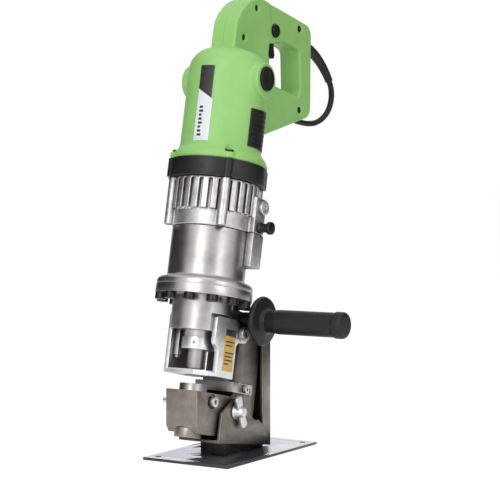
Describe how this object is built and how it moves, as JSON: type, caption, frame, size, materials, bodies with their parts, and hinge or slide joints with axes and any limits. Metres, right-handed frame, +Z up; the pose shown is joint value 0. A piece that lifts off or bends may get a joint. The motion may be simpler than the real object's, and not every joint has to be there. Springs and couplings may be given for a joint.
{
  "type": "portable hydraulic hole punch",
  "caption": "Electric-hydraulic hole punch: C-frame jaw with punch and die, cylinder, pump and motor, D handle and side handle, tilted on a flat sheet-steel stand.",
  "frame": {"origin": "centre of the base plate's underside, on the surface that the stand rests on", "axes": "+Z up; +X towards the side handle; +Y towards the D handle, so the throat opens to -Y"},
  "size_m": [0.304, 0.3819, 0.5102],
  "materials": {
    "base_sheet": "glossy pale blue-grey sheet",
    "frame_paint": "satin warm grey paint on forged steel",
    "zinc": "bright zinc plate",
    "dark_steel": "black oxide screws",
    "tool_steel": "ground tool steel",
    "turned_steel": "turned and polished steel",
    "cast_alu": "sand-cast aluminium, machined edges",
    "green_plastic": "moulded green nylon, fine texture",
    "black_plastic": "moulded black nylon",
    "rubber": "black rubber",
    "lamination": "stacked steel laminations",
    "copper": "copper",
    "brass": "brass",
    "carbon": "pressed carbon",
    "cord_jacket": "black rubber lead"
  },
  "bodies": {
    "frame": {"base_plate": "base_sheet", "stand_bracket": "frame_paint", "stand_screws": "zinc", "c_frame": "frame_paint", "die": "tool_steel", "die_set_screws": "zinc", "gauge_screws": "zinc", "stripper": "zinc", "stripper_bolts": "zinc", "guide_bar": "zinc", "rod_seal": "rubber", "return_spring": "dark_steel", "cylinder_barrel": "turned_steel", "flange_bolts": "dark_steel", "side_block": "cast_alu", "housing_gasket": "rubber", "pump_housing": "cast_alu", "tie_bolts": "dark_steel", "pump_block": "cast_alu", "plunger": "tool_steel", "ball_bearings": "tool_steel", "oil_bladder": "rubber", "filler_plug": "zinc", "collar_ring": "black_plastic", "bearing_plate": "cast_alu", "motor_housing": "green_plastic", "housing_screws": "dark_steel", "stator": "lamination", "brush_holders": "brass", "carbon_brushes": "carbon", "brush_caps": "black_plastic", "handle_right": "green_plastic", "handle_left": "green_plastic", "handle_screws": "dark_steel", "trigger_spring": "dark_steel", "switch_body": "black_plastic", "handle_stud": "zinc", "side_grip": "black_plastic", "cord_clip": "black_plastic", "strain_relief": "rubber", "cord_tube": "cord_jacket", "cord_coil": "cord_jacket", "cord_ties": "black_plastic", "plug": "black_plastic"},
    "ram": {"ram": "turned_steel", "piston_seal": "rubber", "punch_nut": "zinc", "punch": "tool_steel"},
    "rotor": {"armature": "lamination", "commutator": "copper", "armature_shaft": "tool_steel", "fan": "black_plastic"},
    "eccentric": {"eccentric_shaft": "tool_steel", "reduction_gear": "tool_steel"},
    "trigger": {"trigger": "black_plastic"},
    "lock_button": {"lock_button": "black_plastic"},
    "release_valve": {"release_valve": "dark_steel"},
    "wing_bolt_right": {"wing_bolt_right": "zinc"},
    "wing_bolt_left": {"wing_bolt_left": "zinc"},
    "back_gauge": {"back_gauge": "cast_alu"}
  },
  "joints": [
    {"name": "ram_slide", "type": "slide", "parent": "frame", "child": "ram", "axis": [0, -0.2079, -0.9781], "range_m": [0, 0.021], "stiffness_N_per_m": 1500, "springref_m": -0.04, "deforming": ["return_spring"]},
    {"name": "rotor_spin", "type": "hinge", "parent": "frame", "child": "rotor", "pos_m": [0, -0.01513, 0.37844], "axis": [0, 0.2079, 0.9781], "continuous": true},
    {"name": "eccentric_spin", "type": "hinge", "parent": "frame", "child": "eccentric", "pos_m": [0, -0.01946, 0.28736], "axis": [0, 0.2079, 0.9781], "continuous": true},
    {"name": "trigger_pull", "type": "hinge", "parent": "frame", "child": "trigger", "pos_m": [0, 0.0619, 0.47146], "axis": [1, 0, 0], "range_deg": [0, 9], "stiffness_Nm_per_rad": 0.5, "springref_deg": -11.46, "deforming": ["trigger_spring"]},
    {"name": "lock_button_press", "type": "slide", "parent": "frame", "child": "lock_button", "axis": [-1, 0, 0], "range_m": [0, 0.002], "stiffness_N_per_m": 400, "springref_m": -0.002},
    {"name": "release_valve_turn", "type": "hinge", "parent": "frame", "child": "release_valve", "pos_m": [0.05, -0.0234, 0.25292], "axis": [1, 0, 0], "range_deg": [0, 90]},
    {"name": "wing_bolt_right_turn", "type": "hinge", "parent": "frame", "child": "wing_bolt_right", "pos_m": [0.03, -0.034, 0.0515], "axis": [1, 0, 0], "range_deg": [0, 270]},
    {"name": "wing_bolt_left_turn", "type": "hinge", "parent": "frame", "child": "wing_bolt_left", "pos_m": [-0.03, -0.034, 0.0515], "axis": [-1, 0, 0], "range_deg": [0, 270]},
    {"name": "back_gauge_slide", "type": "slide", "parent": "frame", "child": "back_gauge", "axis": [0, -0.9781, 0.2079], "range_m": [0, 0.01]}
  ],
  "couplings": [
    {"joint": "eccentric_spin", "follows": "rotor_spin", "ratio": -0.4}
  ]
}
